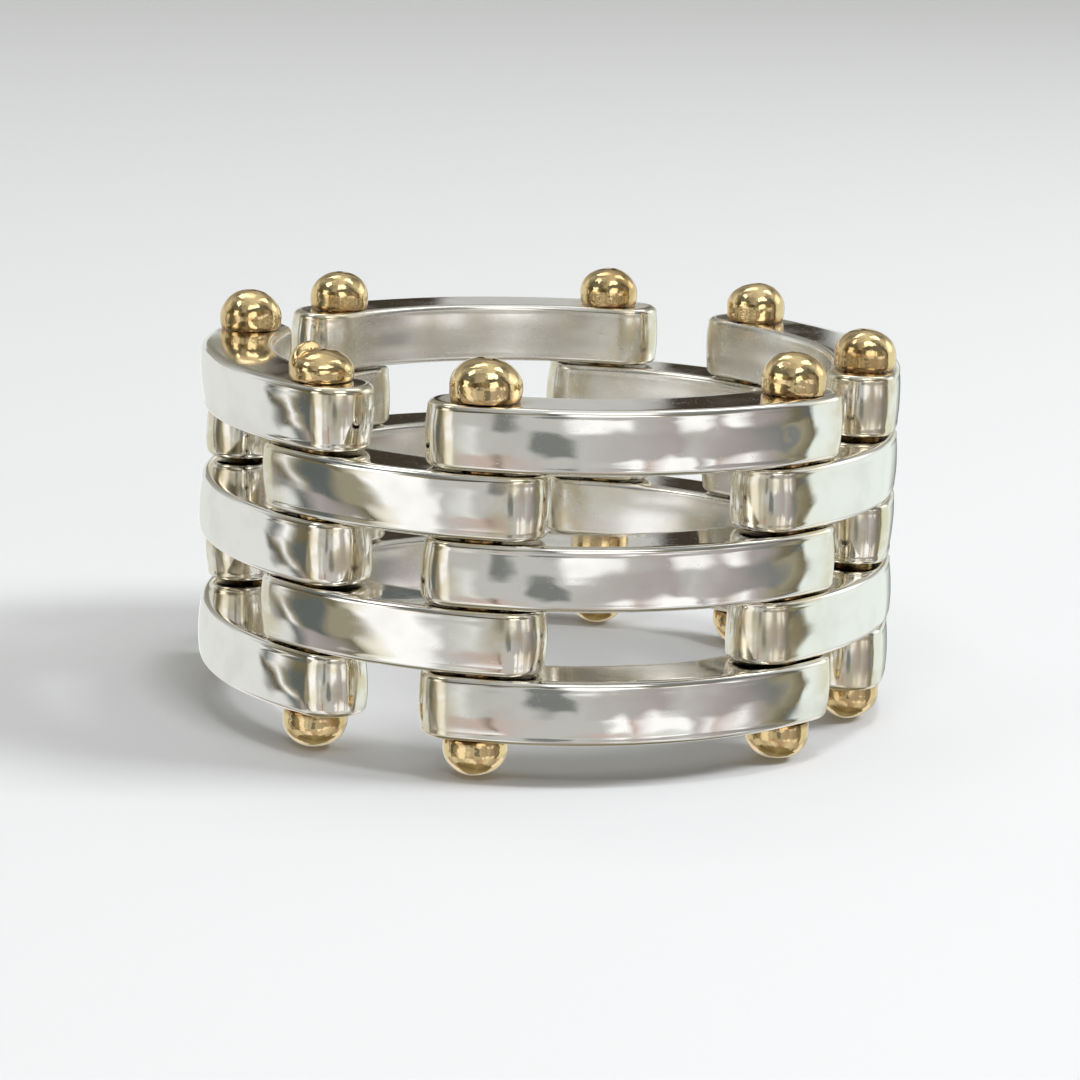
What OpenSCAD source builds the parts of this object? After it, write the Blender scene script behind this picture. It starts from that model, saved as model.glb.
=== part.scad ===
// Chain ring of flat curved bars, stacked five rows high and held by upright round-headed pins.
// Long links of three bars alternate with short links of two bars, whose ends interleave on the pins.
// The ring lies on its side: its axis is Z, and it stands on the lower heads of its pins at Z = 0.

/* [Ring] */
// Diameter of the finger hole
hole_d = 16.3; // [15.5:0.1:21]
// Thickness of every bar, from the finger side to the outside
bar_t = 2.3; // [2:0.1:2.8]
// Number of long links, each followed by a short link
link_pairs = 4; // [3:1:4]

/* [Bars] */
// Height of one bar along the ring's axis
bar_h = 1.84; // [1.5:0.02:2.2]
// Gap between one row of bars and the next
row_gap = 0.05; // [0.03:0.01:0.2]
// Radius of the softened edges of a bar
edge_r = 0.25; // [0.1:0.05:0.4]
// Share of a link pair's angle that lies between the two pins of its long link
long_share = 0.64; // [0.6:0.01:0.66]
// Distance from a pin's axis to the centre of a long bar's round end
long_end_reach = 0.55; // [0.4:0.05:0.8]
// Distance from a pin's axis to the centre of a short bar's round end
short_end_reach = 0.8; // [0.4:0.05:1]

/* [Pins] */
// Diameter of a pin's shaft
shaft_d = 1.1; // [0.9:0.1:1.3]
// Gap all round between a shaft and the bore that it runs in
shaft_gap = 0.05; // [0.03:0.01:0.1]
// Diameter of a pin's round head
head_d = 1.9; // [1.6:0.1:2]
// Height of the straight side under the head's dome
head_side_h = 0.22; // [0.1:0.01:0.5]
// Gap between a head and the bar that it holds
head_gap = 0.03; // [0.02:0.01:0.1]

/* [Hidden] */
$fn = 96;

LONG_ROWS = [["top", 2], ["middle", 0], ["bottom", -2]];
SHORT_ROWS = [["upper", 1], ["lower", -1]];
FRONT = -90;

pin_circle_r = hole_d / 2 + bar_t / 2;
pair_angle = 360 / link_pairs;
long_angle = pair_angle * long_share;
short_angle = pair_angle - long_angle;

row_pitch = bar_h + row_gap;
stack_h = 5 * bar_h + 4 * row_gap;
head_r = head_d / 2;
head_h = head_side_h + head_r;
mid_z = head_h + head_gap + stack_h / 2;
bore_d = shaft_d + 2 * shaft_gap;
// How far the bores run past a bar's faces
overcut = 0.5;
// How far each half of a bar runs past the bar's middle, so that the halves join
lap_angle = 2;

PAIRS = [1 : link_pairs];
PINS = [1 : 2 * link_pairs];

function long_name(pair, row) = str("long_bar_", pair, "_", row[0]);
function short_name(pair, row) = str("short_bar_", pair, "_", row[0]);
function pin_name(index) = str("pin_", index);

// Angle that a length along the pin circle takes up
function arc_angle(length) = length / pin_circle_r * 180 / PI;

// Directions of the middle of a long link, the middle of the short link after it, and a pin
function long_direction(pair) = FRONT + (pair - 1) * pair_angle;
function short_direction(pair) = long_direction(pair) + pair_angle / 2;
function pin_direction(index) =
    long_direction(ceil(index / 2)) + (index % 2 == 1 ? -1 : 1) * long_angle / 2;

// Right half of a bar's section: a rectangle from the middle line to one side, with soft corners
module half_section() {
    translate([0, -bar_h / 2]) square([bar_t / 2 - edge_r, bar_h]);
    translate([0, -bar_h / 2 + edge_r]) square([bar_t / 2, bar_h - 2 * edge_r]);
    for (side = [-1, 1])
        translate([bar_t / 2 - edge_r, side * (bar_h / 2 - edge_r)]) circle(r = edge_r);
}

module section() {
    half_section();
    mirror([1, 0]) half_section();
}

// Half a round end, turned about its own centre and facing along -Y
module round_end() {
    mirror([0, 1, 0])
        rotate_extrude(angle = 180) half_section();
}

// One end of a bar, centred on the X axis, with the curved bar running back from it past the middle
module half_bar(reach) {
    rotate_extrude(angle = reach + lap_angle)
        translate([pin_circle_r, 0]) section();
    translate([pin_circle_r, 0, 0]) round_end();
}

// Curved bar with two bores, its middle in the given direction and its pins pin_angle apart
module bar(direction, pin_angle, end_reach, level) {
    reach = pin_angle / 2 + arc_angle(end_reach);
    translate([0, 0, mid_z + level * row_pitch])
        rotate(direction)
            difference() {
                for (flip = [0, 1])
                    mirror([0, flip, 0]) rotate(-reach) half_bar(reach);
                for (side = [-1, 1])
                    rotate(side * pin_angle / 2)
                        translate([pin_circle_r, 0, 0])
                            cylinder(d = bore_d, h = bar_h + 2 * overcut, center = true);
            }
}

module long_bar(pair, row) {
    color("gainsboro") bar(long_direction(pair), long_angle, long_end_reach, row[1]);
}

module short_bar(pair, row) {
    color("silver") bar(short_direction(pair), short_angle, short_end_reach, row[1]);
}

// Right half of a pin's outline: shaft, straight head side and dome, from the middle to the top
module pin_outline() {
    head_z = stack_h / 2 + head_gap;
    square([shaft_d / 2, head_z + head_side_h]);
    translate([0, head_z]) square([head_r, head_side_h]);
    translate([0, head_z + head_side_h])
        intersection() {
            circle(r = head_r);
            square(head_r);
        }
}

// Shaft with a domed head at each end
module pin(index) {
    color("goldenrod")
        rotate(pin_direction(index))
            translate([pin_circle_r, 0, mid_z])
                rotate_extrude() {
                    pin_outline();
                    mirror([0, 1]) pin_outline();
                }
}

for (pair = PAIRS, row = LONG_ROWS)
    long_bar(pair, row);
for (pair = PAIRS, row = SHORT_ROWS)
    short_bar(pair, row);
for (index = PINS)
    pin(index);
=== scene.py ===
"""Looks of the chain ring: polished silver bars on gold pins, lying on a pale floor."""

import math
import random
from collections import namedtuple

import bpy
import numpy as np
from mathutils import Matrix, Vector, noise


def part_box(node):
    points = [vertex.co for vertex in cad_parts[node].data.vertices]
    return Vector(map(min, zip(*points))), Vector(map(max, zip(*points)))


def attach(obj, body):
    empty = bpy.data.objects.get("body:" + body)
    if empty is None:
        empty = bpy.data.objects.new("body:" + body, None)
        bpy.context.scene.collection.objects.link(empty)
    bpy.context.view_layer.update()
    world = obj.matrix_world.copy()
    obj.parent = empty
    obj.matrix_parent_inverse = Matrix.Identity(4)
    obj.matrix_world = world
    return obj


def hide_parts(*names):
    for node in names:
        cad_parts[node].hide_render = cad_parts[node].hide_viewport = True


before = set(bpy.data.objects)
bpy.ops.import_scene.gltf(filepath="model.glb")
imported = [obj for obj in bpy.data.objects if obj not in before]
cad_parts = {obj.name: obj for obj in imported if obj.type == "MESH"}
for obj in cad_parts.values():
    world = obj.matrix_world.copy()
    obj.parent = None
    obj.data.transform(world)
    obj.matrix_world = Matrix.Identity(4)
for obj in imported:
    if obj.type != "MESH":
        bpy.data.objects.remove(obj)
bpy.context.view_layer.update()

MM = 0.001
LINK_PAIRS = 4
LONG_ROWS = ("top", "middle", "bottom")
SHORT_ROWS = ("upper", "lower")

# Sizes that the frame's boxes don't show
EDGE_R = 0.25 * MM
BORE_R = 0.6 * MM
SHAFT_R = 0.55 * MM
HEAD_GAP = 0.03 * MM
# A head's widest place as a share of its height, how much of its radius its foot is drawn in, and
# the fullness of its dome, which is an ellipse at 1 and fuller below that
WAIST, FOOT_DRAW, DOME_FULLNESS = 0.3, 0.08, 0.95
# The one head that is wider than the others
WIDE_PIN, WIDE_HEAD = 1, 1.1
# The one head that is pressed down except on its far left side, where a ledge is left: the way to
# that side from the head's middle, how far from the middle the ledge is, and how wide its slope is
PRESSED_PIN, PRESS_DEPTH = 8, 0.32 * MM
LEDGE_SIDE, LEDGE_REACH, LEDGE_WIDTH = math.radians(130), 0.5 * MM, 0.16 * MM
# How far past a pin's axis the painted shade towards a bar's end takes to reach its full tone,
# and the ring of painted shadow round a head on a bar's top and underside, as distances from the
# pin's axis
END_PAINTED_SHADE = 0.8 * MM
RIM_PAINTED_SHADOW = (1.4 * MM, 1.05 * MM)
# Share of a head's height over which the painted shadow at its foot, under the head, fades out
FOOT_PAINTED_SHADE = 0.16

# Sizes read from the frame: the circle of the pins' axes, half a bar's thickness, the radius of the
# finger side and the middle of the ring
pin_low, pin_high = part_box("pin_1")
pin_centre = (pin_low + pin_high) / 2
PIN_CIRCLE_R = math.hypot(pin_centre.x, pin_centre.y)
HALF_T = -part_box("long_bar_1_top")[0].y - PIN_CIRCLE_R
FINGER_SIDE_R = PIN_CIRCLE_R - HALF_T
RING_MID = Vector((0, 0, pin_centre.z))

# Steps of a bar's mesh: along its sides, across its top, beside its bores, round its ends, over its
# softened edges, down its sides, from its edge to a bore, and down a bore
STRIP_STEPS = 84
ACROSS_STEPS = 12
PAD_STEPS = 18
TURN_STEPS = 26
RIM_STEPS = 7
WALL_STEPS = 16
RING_STEPS = 6
BORE_STEPS = 4
# Steps of a pin's mesh: round it, and along its shaft, the foot of a head and its dome
PIN_STEPS = 112
SHAFT_STEPS = 16
FOOT_STEPS = 8
DOME_STEPS = 36
# Numbers of the stretches of a bar's plan with which its right end, inner side and left end start
RIGHT_END, INNER_SIDE, LEFT_END = 1, 4, 5
# Angle from which an edge is shaded as a sharp one
SHARP_ANGLE = math.radians(50)

# Random seeds from one pair of links to the next, and from a pair's long link to its short one
PAIR_SEEDS, LONG_SEEDS = 10, 5
# How far the noise moves on from one seed to the next
SEED_STEP = (7.31, 3.17, 5.73)

# Hand finish of the bars: how far a face leans in at its edges, the depth and width of its broad
# hollows and of its small ripples, and what the ripples add to a bar's random seed
FACE_LEAN = math.radians(9)
DISH_DEPTH, DISH_SIZE = 0.13 * MM, 3.6 * MM
RIPPLE_DEPTH, RIPPLE_SIZE, RIPPLE_SEED = 0.012 * MM, 1.6 * MM, 40
# Most that one edge of a bar is dressed back further than its middle, and the other less, and what
# that adds to its random seed
TILT_DEPTH, TILT_SEED = 0.06 * MM, 3773
# Share of all these depths on the flat tops and undersides
TOP_DISH = 0.15
# A round dent near one end of a bar: the bar, its angle from the bar's middle, and its size
DENTED_BAR, DENT_ANGLE = "long_bar_1_top", math.radians(21.7)
DENT_R, DENT_DEPTH = 0.34 * MM, 0.016 * MM
# Depth and width of the lumps on the pins' heads, and the share of a head's height over which they
# reach their full depth
LUMP_DEPTH, LUMP_SIZE, LUMP_RISE = 0.08 * MM, 0.75 * MM, 0.25
# How far the pattern of the metal moves on with each step of a bar's seed, in mm
BAR_SHIFT = 3


def polar(angle):
    """Unit vectors in plan at these angles from +X."""
    return np.stack([np.cos(angle), np.sin(angle)], axis=-1)


class Surface:
    """Points, the way each faces, and the faces of a mesh."""

    def __init__(self):
        self.points, self.normals, self.faces = [], [], []

    def add(self, points, normals):
        """Adds points and returns their numbers."""
        first = len(self.points)
        self.points.extend(np.asarray(points, float))
        self.normals.extend(np.asarray(normals, float))
        return list(range(first, len(self.points)))

    def band(self, low, high, closed=True):
        """Joins two equally long runs of points with quads that face left of low's direction."""
        count = len(low)
        for i in range(count if closed else count - 1):
            j = (i + 1) % count
            self.faces.append((low[i], low[j], high[j], high[i]))

    def fan(self, run, tip):
        """Closes a run of points with triangles to one point."""
        for i, start in enumerate(run):
            self.faces.append((start, run[(i + 1) % len(run)], tip))


def fade(values, start, end):
    """0 at start, 1 at end, and smoothly between them."""
    share = np.clip((np.asarray(values) - start) / (end - start), 0, 1)
    return share * share * (3 - 2 * share)


def smooth_noise(points, size, seed):
    """Smooth noise from 0 to 1 at points, with lumps about as wide as size."""
    offset = Vector([seed * step for step in SEED_STEP])
    values = [noise.noise(Vector(p / size) + offset) for p in points]
    return np.clip(0.5 + 0.5 * np.array(values), 0, 1)


def object_from(name, points, lay, painted_shade, faces, material):
    """Makes a smooth-shaded piece. Its lay says where each point lies along the piece, in mm, and
    the values after it how strongly painted shade darkens each point and makes it rougher, from 0 to 1."""
    mesh = bpy.data.meshes.new(name)
    mesh.from_pydata([tuple(p) for p in points], [], faces)
    mesh.validate()
    mesh.attributes.new("lay", "FLOAT_VECTOR", "POINT").data.foreach_set(
        "vector", np.array(lay / MM, np.float32).ravel())
    mesh.attributes.new("painted_shade", "FLOAT", "POINT").data.foreach_set(
        "value", np.array(painted_shade, np.float32))
    mesh.shade_smooth()
    mesh.set_sharp_from_angle(angle=SHARP_ANGLE)
    mesh.materials.append(material)
    piece = bpy.data.objects.new(name, mesh)
    bpy.context.scene.collection.objects.link(piece)
    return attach(piece, "root")


# Bars

Station = namedtuple("Station", "arc facing")


def bar_stations(tip, cut):
    """Places round a bar's plan, counter-clockwise from -cut on its outer side, and the
    number at which each stretch starts."""
    def stretch(start, end, count, turned):
        arc = np.linspace(start, end, count, endpoint=False)
        return arc, arc + turned

    def turn(arc, turned):
        facing = arc + turned + np.linspace(0, math.pi, TURN_STEPS, endpoint=False)
        return np.full(TURN_STEPS, arc), facing

    stretches = [
        stretch(-cut, cut, STRIP_STEPS, 0),
        stretch(cut, tip, PAD_STEPS, 0),
        turn(tip, 0),
        stretch(tip, cut, PAD_STEPS, math.pi),
        stretch(cut, -cut, STRIP_STEPS, math.pi),
        stretch(-cut, -tip, PAD_STEPS, math.pi),
        turn(-tip, math.pi),
        stretch(-tip, -cut, PAD_STEPS, 0),
    ]
    starts = np.cumsum([0] + [len(arc) for arc, _ in stretches])
    arc = np.concatenate([s[0] for s in stretches])
    facing = np.concatenate([s[1] for s in stretches])
    return Station(arc, facing), starts


def bar_section(half_h):
    """Rows of a bar's side from its top to its bottom: (inset, height, lean of the normal)."""
    side_h = half_h - EDGE_R * (1 - math.sin(FACE_LEAN))
    crown_r = side_h / math.sin(FACE_LEAN)
    side_inset = crown_r * (1 - math.cos(FACE_LEAN))
    rim_inset = side_inset + EDGE_R * math.cos(FACE_LEAN)
    rows = []
    for lean in np.linspace(math.pi / 2, FACE_LEAN, RIM_STEPS, endpoint=False):
        rows.append((rim_inset - EDGE_R * math.cos(lean),
                     half_h - EDGE_R * (1 - math.sin(lean)), lean))
    for lean in np.linspace(FACE_LEAN, -FACE_LEAN, WALL_STEPS + 1):
        rows.append((crown_r * (1 - math.cos(lean)), crown_r * math.sin(lean), lean))
    lower = [(inset, -height, -lean) for inset, height, lean in rows[:RIM_STEPS]]
    return rows + lower[::-1]


def cap(surface, loop, starts, up, pins):
    """Fills the top or bottom of a bar between its edge and its two bores, and returns the
    points round each bore. up is 1 for the top and -1 for the bottom."""
    height = surface.points[loop[0]][2]

    def add(plan):
        return surface.add(np.column_stack([plan, np.full(len(plan), height)]),
                           np.tile((0, 0, up), (len(plan), 1)))

    def join(low, high, closed):
        surface.band(*((low, high) if up > 0 else (high, low)), closed)

    def plan_of(run):
        return np.array([surface.points[i][:2] for i in run])

    outer = loop[: STRIP_STEPS + 1]
    inner = loop[starts[INNER_SIDE] : starts[INNER_SIDE] + STRIP_STEPS + 1][::-1]
    rows = [outer]
    for share in np.linspace(0, 1, ACROSS_STEPS + 1)[1:-1]:
        rows.append(add(plan_of(outer) * (1 - share) + plan_of(inner) * share))
    rows.append(inner)
    for near, far in zip(rows, rows[1:]):
        join(near, far, False)
    across = list(zip(*rows))

    right = loop[starts[RIGHT_END] : starts[INNER_SIDE] + 1] + list(across[-1])[1:-1][::-1]
    left = loop[starts[LEFT_END] :] + [loop[0]] + list(across[0])[1:-1]
    bores = []
    for edge, pin_at in ((left, pins[0]), (right, pins[1])):
        centre = polar(pin_at) * PIN_CIRCLE_R
        out = plan_of(edge) - centre
        rim = centre + BORE_R * out / np.linalg.norm(out, axis=1)[:, None]
        ring = edge
        for share in np.linspace(0, 1, RING_STEPS + 1)[1:]:
            next_ring = add(plan_of(edge) * (1 - share) + rim * share)
            join(ring, next_ring, True)
            ring = next_ring
        bores.append(ring)
    return bores


def bore_wall(surface, top, bottom, pin_at):
    """Lines a bore between its points at the top and at the bottom."""
    high = np.array([surface.points[i] for i in top])
    low = np.array([surface.points[i] for i in bottom])
    inward = (np.append(polar(pin_at) * PIN_CIRCLE_R, 0) - high) * (1, 1, 0)
    inward /= np.linalg.norm(inward, axis=1)[:, None]
    ring = top
    for share in np.linspace(0, 1, BORE_STEPS + 1)[1:-1]:
        next_ring = surface.add(high + (low - high) * share, inward)
        surface.band(ring, next_ring)
        ring = next_ring
    surface.band(ring, bottom)


def end_angle(node, direction):
    """Angle from a bar's middle to the centre of its round end, measured on its CAD solid."""
    points = np.array([v.co[:2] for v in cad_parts[node].data.vertices])
    turned = np.arctan2(points[:, 1], points[:, 0]) - direction
    turned = (turned + math.pi) % (2 * math.pi) - math.pi
    return turned.max() - math.asin(HALF_T / PIN_CIRCLE_R)


def bar(node, first_pin, last_pin, seed, material):
    """One curved bar with its softened edges, its two bores and its hand-polished unevenness."""
    low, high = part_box(node)
    half_h, mid_z = (high.z - low.z) / 2, (high.z + low.z) / 2
    half_span = ((pin_angle(last_pin) - pin_angle(first_pin)) % (2 * math.pi)) / 2
    direction = pin_angle(first_pin) + half_span
    pins = (-half_span, half_span)
    station, starts = bar_stations(end_angle(node, direction), half_span - HALF_T / PIN_CIRCLE_R)
    surface = Surface()
    base, out = polar(station.arc) * PIN_CIRCLE_R, polar(station.facing)
    loops = []
    for inset, height, lean in bar_section(half_h):
        level = np.ones((len(base), 1))
        loops.append(surface.add(np.hstack([base + out * (HALF_T - inset), level * height]),
                                 np.hstack([out * math.cos(lean), level * math.sin(lean)])))
    for upper, lower in zip(loops, loops[1:]):
        surface.band(lower, upper)
    tops = cap(surface, loops[0], starts, 1, pins)
    bottoms = cap(surface, loops[-1], starts, -1, pins)
    for top, bottom, pin_at in zip(tops, bottoms, pins):
        bore_wall(surface, top, bottom, pin_at)

    points, normals = np.array(surface.points), np.array(surface.normals)
    past_pin = np.abs(np.arctan2(points[:, 1], points[:, 0])) - half_span
    from_pin = np.min([np.linalg.norm(points[:, :2] - polar(at) * PIN_CIRCLE_R, axis=1)
                       for at in pins], axis=0)
    # Painted shade: darker and warmer towards each end past the pins, where the links meet, and a
    # painted shadow in a ring round each head on the bar's top and underside
    painted_shade = np.maximum(fade(past_pin * PIN_CIRCLE_R, 0, END_PAINTED_SHADE),
                         fade(from_pin, *RIM_PAINTED_SHADOW) * np.abs(normals[:, 2]))
    tilt = TILT_DEPTH * random.Random(TILT_SEED + seed).uniform(-1, 1)
    depth = (DISH_DEPTH * smooth_noise(points, DISH_SIZE, seed)
             + RIPPLE_DEPTH * smooth_noise(points, RIPPLE_SIZE, seed + RIPPLE_SEED)
             + tilt * points[:, 2] / half_h)
    depth *= 1 - (1 - TOP_DISH) * np.abs(normals[:, 2])
    if node == DENTED_BAR:
        dent = np.append(polar(DENT_ANGLE) * (PIN_CIRCLE_R + HALF_T), 0)
        away = np.clip(np.linalg.norm(points - dent, axis=1) / DENT_R, 0, 1)
        depth += DENT_DEPTH * (1 - away ** 2) ** 2
    points = points - normals * depth[:, None]
    arc = np.arctan2(points[:, 1], points[:, 0]) * PIN_CIRCLE_R
    lay = np.column_stack([arc, points[:, 2], np.hypot(points[:, 0], points[:, 1])])
    lay[:, 1] += seed * BAR_SHIFT * MM
    turn = np.array(Matrix.Rotation(direction, 3, "Z"))
    piece = object_from(f"{node}_polished", points @ turn.T + (0, 0, mid_z), lay, painted_shade,
                        surface.faces, material)
    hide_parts(node)


# Pins

def pin_angle(index):
    """Direction of a pin from the ring's axis."""
    low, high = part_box(f"pin_{index}")
    return math.atan2(low.y + high.y, low.x + high.x)


def head_outline(radius, height):
    """Radius and height of a head from its underside, which is drawn in a little, to its top."""
    waist = WAIST * height
    rows = [(radius * (1 - FOOT_DRAW * t * t), waist * (1 + t))
            for t in np.linspace(-1, 0, FOOT_STEPS, endpoint=False)]
    for t in np.linspace(0, math.pi / 2, DOME_STEPS, endpoint=False):
        rows.append((radius * math.cos(t) ** DOME_FULLNESS, waist + (height - waist) * math.sin(t)))
    return rows


def pin(index, material):
    """A shaft with a hand-formed round head at each end."""
    low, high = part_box(f"pin_{index}")
    centre = (low + high) / 2
    head_r = (high.x - low.x) / 2
    head_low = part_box("long_bar_1_top")[1].z + HEAD_GAP - centre.z
    head_h = high.z - centre.z - head_low
    wide = WIDE_HEAD if index == WIDE_PIN else 1
    upper = [(r, head_low + z) for r, z in head_outline(head_r * wide, head_h)]
    lower = [(r, -head_low - z) for r, z in head_outline(head_r, head_h)]
    shaft = [(SHAFT_R, head_low * t) for t in np.linspace(-1, 1, SHAFT_STEPS + 1)]
    rows = lower[::-1] + shaft + upper

    surface = Surface()
    around = polar(np.linspace(0, 2 * math.pi, PIN_STEPS, endpoint=False))
    level = np.ones((PIN_STEPS, 1))
    loops = []
    for radius, height in rows:
        rise = max(0.0, abs(height) - head_low) / head_h * math.copysign(1, height)
        loops.append(surface.add(np.hstack([around * radius, level * height]),
                                 np.hstack([around * math.sqrt(1 - rise ** 2), level * rise])))
    for below, above in zip(loops, loops[1:]):
        surface.band(below, above)
    for ring, side in ((loops[-1], 1), (loops[0][::-1], -1)):
        tip = surface.add([(0, 0, side * (head_low + head_h))], [(0, 0, side)])
        surface.fan(ring, tip[0])
    points, normals = np.array(surface.points), np.array(surface.normals)
    rise = (np.abs(points[:, 2]) - head_low) / head_h
    depth = LUMP_DEPTH * smooth_noise(points, LUMP_SIZE, index) * fade(rise, 0, LUMP_RISE)
    points = points - normals * depth[:, None]
    if index == PRESSED_PIN:
        to_ledge = LEDGE_REACH - points[:, :2] @ polar(LEDGE_SIDE)
        pressed = fade(to_ledge, 0, LEDGE_WIDTH) * np.clip(rise, 0, 1)
        points[:, 2] -= PRESS_DEPTH * pressed * (points[:, 2] > 0)
    lay = points + index * MM
    # The values after the lay are painted shade: full on the shaft and at the foot of each head, a
    # painted shadow under it, fading out up the head
    piece = object_from(f"pin_{index}_polished", points + np.array(centre), lay,
                        fade(rise, FOOT_PAINTED_SHADE, 0), surface.faces, material)
    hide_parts(f"pin_{index}")


# Materials

# Haze in a metal: how often it comes in a mm, and between which of its values the tone deepens and
# the roughness grows
HAZE_SCALE, HAZE_TONE, HAZE_ROUGH = 0.8, (0.45, 0.75), (0.35, 0.7)
# Patches in which the painted shade shows: how often they come in a mm, between which of its
# values they grow, and their least and greatest strength
PATCH_SCALE, PATCH_SPAN, PATCH_STRENGTH = 1.4, (0.35, 0.6), (0.2, 0.9)
# Hairline scratches: the ways they run, their length and width in mm, the values of the noise
# between which one starts, and their depth in the fine relief
SCRATCH_TURNS = ((0, 0.3, 0.2), (0, -0.9, 1.3), (0, 1.2, -0.6))
SCRATCH_SIZE = (1.1, 0.05, 0.05)
SCRATCH_SPAN, SCRATCH_DEPTH = (0.77, 0.83), 0.5
# Roughness that scratches and full painted shade add to a metal's own
SCRATCH_ROUGHNESS, PAINTED_SHADE_ROUGHNESS = 0.06, 0.12
# How far outside the finger side's radius the satin starts and is full, in mm
SATIN_START, SATIN_FULL = 0.5, 0.3
# How often the metal's fine unevenness comes in a mm, the strength of the fine relief, and how high
# a height of 1 in it is
PEEL_SCALE, RELIEF_STRENGTH, RELIEF_HEIGHT = 7.0, 0.5, 0.001 * MM


class Graph:
    """Short ways to add and join the nodes of a material or of the room."""

    def __init__(self, owner):
        owner.use_nodes = True
        self.tree = owner.node_tree

    def link(self, value, socket):
        """Gives a socket a number or colour, or joins it to another node's output."""
        if isinstance(value, bpy.types.NodeSocket):
            self.tree.links.new(value, socket)
        elif isinstance(value, tuple) and socket.type == "RGBA":
            socket.default_value = (*value, 1)
        else:
            socket.default_value = value

    def add(self, kind, sockets=(), **settings):
        made = self.tree.nodes.new(kind)
        for name, value in settings.items():
            setattr(made, name, value)
        for name, value in dict(sockets).items():
            self.link(value, made.inputs[name])
        return made

    def math(self, operation, *values):
        made = self.add("ShaderNodeMath", operation=operation)
        for value, socket in zip(values, made.inputs):
            self.link(value, socket)
        return made.outputs["Value"]

    def spread(self, value, low, high, to=(0, 1)):
        """Maps low to high on to the range to, smoothly, and stays inside it."""
        sockets = {"Value": value, "From Min": low, "From Max": high, "To Min": to[0], "To Max": to[1]}
        made = self.add("ShaderNodeMapRange", sockets, interpolation_type="SMOOTHSTEP")
        return made.outputs["Result"]

    def mix(self, share, first, second):
        made = self.add("ShaderNodeMix", data_type="RGBA")
        names = ("Factor_Float", "A_Color", "B_Color")
        for name, value in zip(names, (share, first, second)):
            self.link(value, next(s for s in made.inputs if s.identifier == name))
        return next(s for s in made.outputs if s.identifier == "Result_Color")

    def noise(self, place, scale, detail=2.0):
        sockets = {"Vector": place, "Scale": scale, "Detail": detail}
        return self.add("ShaderNodeTexNoise", sockets).outputs["Fac"]


def metal(name, color, shade, painted_shade_tone, roughness, peel_height, satin=0.0):
    """Polished metal with hairline scratches, faint haze, a deeper tone in patches, and painted shade
    in patches that also makes it rougher.
    roughness goes from its low to its high value with the haze. peel_height is the height of the
    fine unevenness, and satin the roughness that the finger side has besides."""
    material = bpy.data.materials.new(name)
    graph = Graph(material)
    shader = graph.tree.nodes["Principled BSDF"]
    shader.inputs["Metallic"].default_value = 1.0
    lay = graph.add("ShaderNodeAttribute", attribute_name="lay").outputs["Vector"]

    haze = graph.noise(lay, HAZE_SCALE)
    tone = graph.mix(graph.spread(haze, *HAZE_TONE), color, shade)
    # Painted shade: the tone darkens towards the given shade colour where the mesh's painted-shade
    # values say, in patches, and the same share makes the metal rougher
    painted_shade = graph.add("ShaderNodeAttribute", attribute_name="painted_shade").outputs["Fac"]
    patches = graph.spread(graph.noise(lay, PATCH_SCALE), *PATCH_SPAN, PATCH_STRENGTH)
    shaded_and_dulled = graph.math("MULTIPLY", painted_shade, patches)
    tone = graph.mix(shaded_and_dulled, tone, painted_shade_tone)
    graph.link(tone, shader.inputs["Base Color"])

    scratches = 0.0
    for turn in SCRATCH_TURNS:
        sockets = {"Vector": lay, "Rotation": turn, "Scale": SCRATCH_SIZE}
        place = graph.add("ShaderNodeMapping", sockets, vector_type="TEXTURE").outputs["Vector"]
        hair = graph.spread(graph.noise(place, 1.0, detail=0.0), *SCRATCH_SPAN)
        scratches = graph.math("MAXIMUM", hair, scratches)
    rough = graph.spread(haze, *HAZE_ROUGH, roughness)
    rough = graph.math("MULTIPLY_ADD", shaded_and_dulled, PAINTED_SHADE_ROUGHNESS, rough)
    if satin:
        radius = graph.add("ShaderNodeSeparateXYZ", {"Vector": lay}).outputs["Z"]
        inside = FINGER_SIDE_R / MM
        finger_side = graph.spread(radius, inside + SATIN_START, inside + SATIN_FULL)
        rough = graph.math("MULTIPLY_ADD", finger_side, satin, rough)
    rough = graph.math("MULTIPLY_ADD", scratches, SCRATCH_ROUGHNESS, rough)
    graph.link(rough, shader.inputs["Roughness"])

    peel = graph.math("MULTIPLY", graph.noise(lay, PEEL_SCALE, detail=1.0), peel_height)
    relief = graph.math("SUBTRACT", peel, graph.math("MULTIPLY", scratches, SCRATCH_DEPTH))
    sockets = {"Height": relief, "Strength": RELIEF_STRENGTH, "Distance": RELIEF_HEIGHT}
    graph.link(graph.add("ShaderNodeBump", sockets).outputs["Normal"], shader.inputs["Normal"])
    return material


def matt(name, color, roughness):
    """Plain matt surface."""
    material = bpy.data.materials.new(name)
    shader = Graph(material).tree.nodes["Principled BSDF"]
    shader.inputs["Base Color"].default_value = (*color, 1)
    shader.inputs["Roughness"].default_value = roughness
    return material


# Stage

# Half the floor's width, its colour and its roughness
FLOOR_HALF, FLOOR_COLOR, FLOOR_ROUGHNESS = 1.2, (0.55, 0.56, 0.58), 0.7

Lamp = namedtuple("Lamp", "name azimuth elevation width height power")
# Each lamp's direction from the ring in degrees, its size in metres and its power in watts, and
# how far all of them are from the ring's middle
LAMPS = (
    Lamp("lamp_right", 70, 42, 0.12, 0.12, 1.5),
    Lamp("lamp_left", -35, 50, 0.08, 0.05, 0.2),
    Lamp("lamp_over", 15, 78, 0.06, 0.05, 0.5),
)
LAMP_DISTANCE = 0.4

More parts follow.
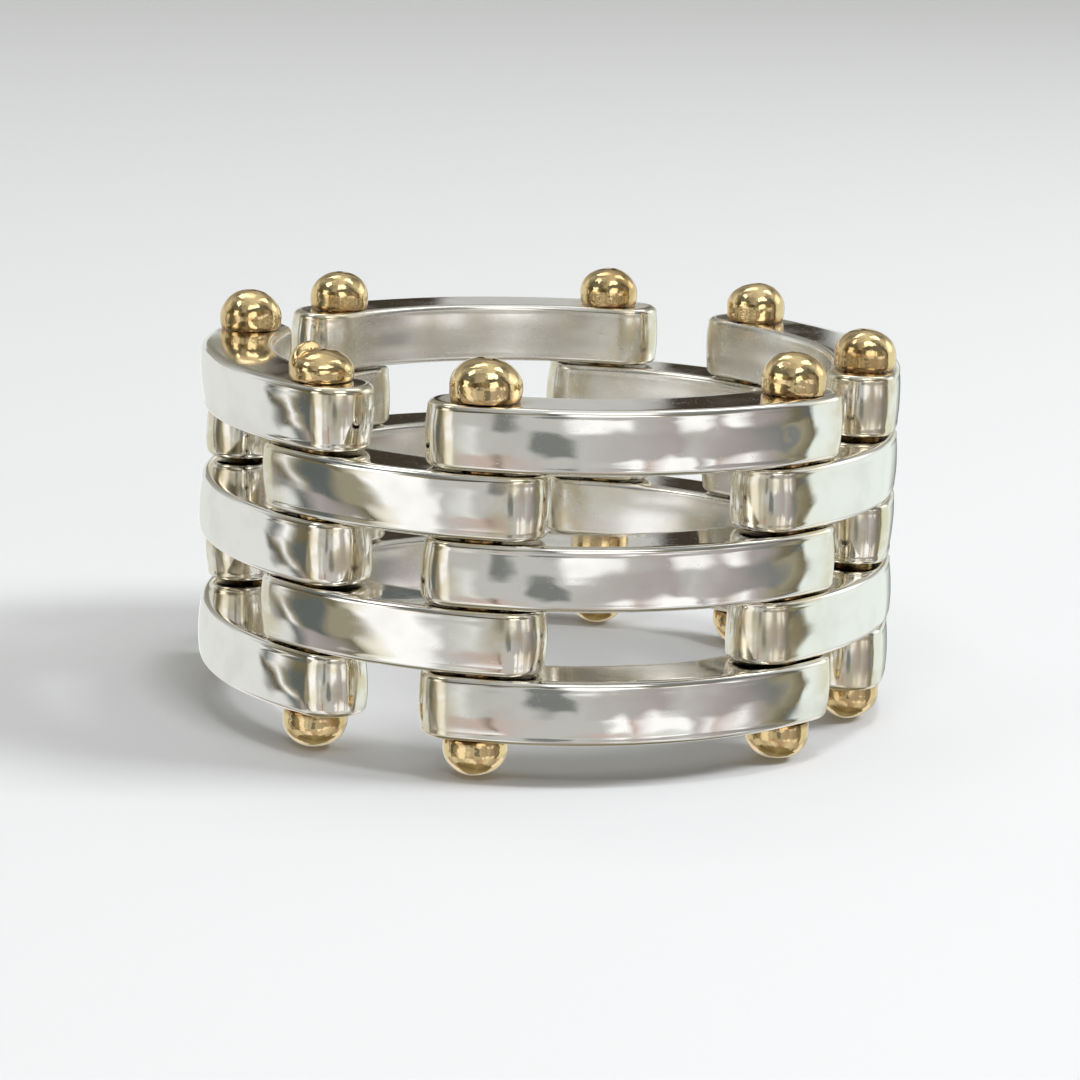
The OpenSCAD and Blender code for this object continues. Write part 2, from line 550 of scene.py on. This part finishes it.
# The camera's direction and distance from the ring's middle, the point that it looks at, its roll,
# its lens and sensor in mm, and the nearest and furthest that it sees
CAMERA_AZIMUTH, CAMERA_ELEVATION, CAMERA_DISTANCE = -17.85, 11.9, 0.1024
CAMERA_AIM = Vector((-0.17, 0.05, 4.73)) * MM
CAMERA_ROLL = math.radians(1.88)
LENS, SENSOR = 113.7, 36
NEAREST, FURTHEST = 0.005, 10


def floor():
    """A wide pale floor that doesn't show in the polish."""
    mesh = bpy.data.meshes.new("floor")
    corners = [(-FLOOR_HALF, -FLOOR_HALF, 0), (FLOOR_HALF, -FLOOR_HALF, 0),
               (FLOOR_HALF, FLOOR_HALF, 0), (-FLOOR_HALF, FLOOR_HALF, 0)]
    mesh.from_pydata(corners, [], [(0, 1, 2, 3)])
    mesh.materials.append(matt("floor_pale", FLOOR_COLOR, FLOOR_ROUGHNESS))
    piece = bpy.data.objects.new("floor", mesh)
    bpy.context.scene.collection.objects.link(piece)
    piece.visible_glossy = False


def place(azimuth, elevation, distance, target):
    """A point seen from target at this azimuth from -Y, towards +X, and elevation, in degrees."""
    a, e = math.radians(azimuth), math.radians(elevation)
    out = Vector((math.sin(a) * math.cos(e), -math.cos(a) * math.cos(e), math.sin(e)))
    return target + distance * out


def softbox(row):
    """A rectangular area light that faces the ring and doesn't show in its polish."""
    light = bpy.data.lights.new(row.name, "AREA")
    light.shape = "RECTANGLE"
    light.size, light.size_y = row.width, row.height
    light.energy = row.power
    lamp = bpy.data.objects.new(row.name, light)
    lamp.location = place(row.azimuth, row.elevation, LAMP_DISTANCE, RING_MID)
    lamp.rotation_euler = (RING_MID - lamp.location).to_track_quat("-Z", "Y").to_euler()
    lamp.visible_glossy = False
    bpy.context.scene.collection.objects.link(lamp)


# The room that shows in the polish

# Its tones
WHITE = (1.08, 1.08, 1.06)
LIGHT = (0.76, 0.78, 0.74)
MINT = (0.86, 0.92, 0.86)
CREAM = (0.86, 0.82, 0.68)
PALE = (0.53, 0.53, 0.5)
BLUSH = (0.58, 0.47, 0.42)
MAUVE = (0.41, 0.37, 0.36)
KHAKI = (0.32, 0.29, 0.2)
OLIVE = (0.17, 0.15, 0.09)
SLATE = (0.12, 0.135, 0.13)
GREY = (0.2, 0.21, 0.2)
UMBER = (0.05, 0.04, 0.028)
STREAK = (1.7, 1.66, 1.56)
GLARE = (2.6, 2.55, 2.4)
# The room's levels from the lowest up: the height at which each starts, as the sine of its
# elevation, and its tones by azimuth from the camera's side, positive to the right of the view.
# An upright polished face shows the tones at twice its own azimuth.
ROOM = (
    (-1, ((-180, KHAKI), (-90, OLIVE), (0, KHAKI), (90, OLIVE), (180, KHAKI))),
    (-0.8, ((-180, PALE), (-150, WHITE), (-135, MAUVE), (-90, LIGHT), (-60, PALE), (-20, WHITE),
            (-5, MAUVE), (15, BLUSH), (40, LIGHT), (70, PALE), (95, MAUVE), (110, WHITE), (150, LIGHT),
            (180, PALE))),
    (-0.52, ((-180, MAUVE), (-172, BLUSH), (-160, LIGHT), (-103, LIGHT), (-98, SLATE), (-90, MAUVE),
             (-66, OLIVE), (-60, CREAM), (-52, WHITE), (-42, WHITE), (-37, PALE), (-27, BLUSH),
             (-22, BLUSH), (-20, OLIVE), (-18, BLUSH), (-5, PALE), (16, PALE), (20, WHITE), (24, WHITE),
             (28, BLUSH), (34, WHITE), (45, WHITE), (49, MAUVE), (56, WHITE), (59, BLUSH), (65, WHITE),
             (68, MAUVE), (78, KHAKI), (87, OLIVE), (91, SLATE), (94, MINT), (180, MAUVE))),
    (-0.34, ((-180, SLATE), (-173, WHITE), (-163, LIGHT), (-106, LIGHT), (-102, UMBER), (-99, KHAKI),
             (-96, WHITE), (-92, KHAKI), (-88, SLATE), (-78, SLATE), (-72, KHAKI), (-65, KHAKI),
             (-60, WHITE), (-39, WHITE), (-35, PALE), (-25, LIGHT), (-20, PALE), (-6, PALE), (-3, GREY),
             (4, GREY), (7, PALE), (38, MAUVE), (46, PALE), (58, MAUVE), (77, GREY), (83, KHAKI),
             (90, OLIVE), (93, MINT), (154, MINT), (165, GREY), (180, SLATE))),
    (-0.06, ((-180, LIGHT), (-104, LIGHT), (-98, SLATE), (-93, WHITE), (-88, OLIVE), (-70, OLIVE),
             (-62, CREAM), (-54, WHITE), (-38, WHITE), (-33, PALE), (-18, PALE), (-15, GREY),
             (-10, GREY), (-7, PALE), (8, PALE), (12, WHITE), (21, WHITE), (25, PALE), (38, MAUVE),
             (43, WHITE), (51, WHITE), (55, MAUVE), (61, WHITE), (65, WHITE), (70, MAUVE), (84, OLIVE),
             (90, SLATE), (93, MINT), (180, LIGHT))),
    (0.16, ((-180, OLIVE), (-130, PALE), (-118, LIGHT), (-110, LIGHT), (-95, OLIVE), (-74, UMBER),
            (-68, STREAK), (-50, STREAK), (-44, KHAKI), (-20, UMBER), (0, KHAKI), (8, UMBER),
            (14, STREAK), (34, STREAK), (40, KHAKI), (60, OLIVE), (72, MAUVE), (90, UMBER),
            (118, STREAK), (126, STREAK), (140, PALE), (180, OLIVE))),
    (0.5, ((-180, PALE), (-140, GREY), (-118, PALE), (-92, SLATE), (-55, GREY), (-38, SLATE),
           (-8, PALE), (14, SLATE), (62, GREY), (84, SLATE), (112, LIGHT), (150, GREY), (180, PALE))),
    (0.76, ((-180, LIGHT), (-150, GLARE), (-130, GLARE), (-124, GREY), (-98, PALE), (-92, GLARE),
            (-64, GLARE), (-58, GREY), (8, PALE), (16, GLARE), (56, GLARE), (62, GREY),
            (115, PALE), (122, GLARE), (145, GLARE), (152, PALE), (180, LIGHT))),
    (0.93, ((-180, LIGHT), (-60, PALE), (60, LIGHT), (180, LIGHT))),
)
# Half the height over which one level passes into the next
LEVEL_SOFTNESS = 0.03
# How much the tones lean with height and wander, in turns, how much the levels wander in height, and
# how often both wander
TONE_LEAN, TONE_WANDER, LEVEL_WANDER, WANDER_SCALE = 0.03, 0.05, 0.25, 4.0
# The doorway's side, its pale middle, its sill, its top and how near it is to straight behind the
# ring, each as the two values between which it fades, of a direction's part across, up or back
DOOR_SIDE, DOOR_MIDDLE = (0.088, 0.078), (0.036, 0.03)
DOOR_SILL, DOOR_TOP = (0.05, 0.1), (0.34, 0.3)
DOOR_BACK = (0.85, 0.9)
# The plain tone that the room shows behind the floor
BACKDROP = (0.85, 0.85, 0.85)


def surroundings():
    """A soft room that shows in the polish, with a level of tones for each height and a dark
    doorway with a pale middle behind the ring. Seen directly it is plain."""
    world = bpy.data.worlds.new("room")
    bpy.context.scene.world = world
    graph = Graph(world)
    where = graph.add("ShaderNodeTexCoord").outputs["Generated"]
    sockets = {"Vector": where, "Angle": -math.radians(CAMERA_AZIMUTH)}
    turned = graph.add("ShaderNodeVectorRotate", sockets, rotation_type="Z_AXIS").outputs["Vector"]
    axes = graph.add("ShaderNodeSeparateXYZ", {"Vector": turned}).outputs
    x, y, z = axes["X"], axes["Y"], axes["Z"]
    uneven = graph.math("SUBTRACT", graph.noise(turned, WANDER_SCALE, detail=1.0), 0.5)

    azimuth = graph.math("ARCTAN2", x, graph.math("MULTIPLY", y, -1.0))
    share = graph.math("MULTIPLY_ADD", azimuth, 1 / (2 * math.pi), 0.5)
    share = graph.math("MULTIPLY_ADD", z, TONE_LEAN, share)
    share = graph.math("MULTIPLY_ADD", uneven, TONE_WANDER, share)
    height = graph.math("MULTIPLY_ADD", uneven, LEVEL_WANDER, z)
    tone = None
    for level, tones in ROOM:
        wall = graph.add("ShaderNodeValToRGB", {"Fac": share})
        stops = wall.color_ramp.elements
        for degrees, color in tones[1:-1]:
            stops.new((degrees + 180) / 360).color = (*color, 1)
        stops[0].color, stops[-1].color = (*tones[0][1], 1), (*tones[-1][1], 1)
        shown = graph.spread(height, level - LEVEL_SOFTNESS, level + LEVEL_SOFTNESS)
        tone = graph.mix(shown, tone, wall.outputs["Color"]) if tone else wall.outputs["Color"]

    aside = graph.math("ABSOLUTE", x)
    doorway = graph.math("MULTIPLY", graph.spread(aside, *DOOR_SIDE), graph.spread(y, *DOOR_BACK))
    doorway = graph.math("MULTIPLY", doorway, graph.spread(height, *DOOR_SILL))
    doorway = graph.math("MULTIPLY", doorway, graph.spread(z, *DOOR_TOP))
    tone = graph.mix(doorway, tone, graph.mix(graph.spread(aside, *DOOR_MIDDLE), UMBER, PALE))
    seen_directly = graph.add("ShaderNodeLightPath").outputs["Is Camera Ray"]
    tone = graph.mix(seen_directly, tone, BACKDROP)
    graph.link(tone, graph.tree.nodes["Background"].inputs["Color"])


def camera():
    """The photograph's view of the ring: its side, height, distance and slight roll."""
    data = bpy.data.cameras.new("camera")
    data.lens, data.sensor_width = LENS, SENSOR
    data.clip_start, data.clip_end = NEAREST, FURTHEST
    view = bpy.data.objects.new("camera", data)
    view.location = place(CAMERA_AZIMUTH, CAMERA_ELEVATION, CAMERA_DISTANCE, RING_MID)
    look = (CAMERA_AIM - view.location).to_track_quat("-Z", "Y")
    roll = Matrix.Rotation(CAMERA_ROLL, 4, "Z").to_quaternion()
    view.rotation_mode = "QUATERNION"
    view.rotation_quaternion = look @ roll
    bpy.context.scene.collection.objects.link(view)
    bpy.context.scene.camera = view


# Everything in its place

# The third colour of each metal is the tone of its painted shade
silver = metal("polished_silver", color=(0.93, 0.92, 0.9), shade=(0.86, 0.84, 0.81),
               painted_shade_tone=(0.78, 0.7, 0.53), roughness=(0.03, 0.1), peel_height=0.5, satin=0.16)
gold = metal("polished_gold", color=(0.87, 0.67, 0.37), shade=(0.66, 0.46, 0.22),
             painted_shade_tone=(0.3, 0.14, 0.05), roughness=(0.05, 0.14), peel_height=11.0)

for pair in range(1, LINK_PAIRS + 1):
    long_end = 2 * pair
    short_end = long_end % (2 * LINK_PAIRS) + 1
    seed = PAIR_SEEDS * pair
    for number, row in enumerate(LONG_ROWS):
        bar(f"long_bar_{pair}_{row}", long_end - 1, long_end, seed + number, silver)
    for number, row in enumerate(SHORT_ROWS):
        bar(f"short_bar_{pair}_{row}", long_end, short_end, seed + LONG_SEEDS + number, silver)
for index in range(1, 2 * LINK_PAIRS + 1):
    pin(index, gold)

floor()
surroundings()
for row in LAMPS:
    softbox(row)
camera()
bpy.context.scene.view_settings.view_transform = "Standard"
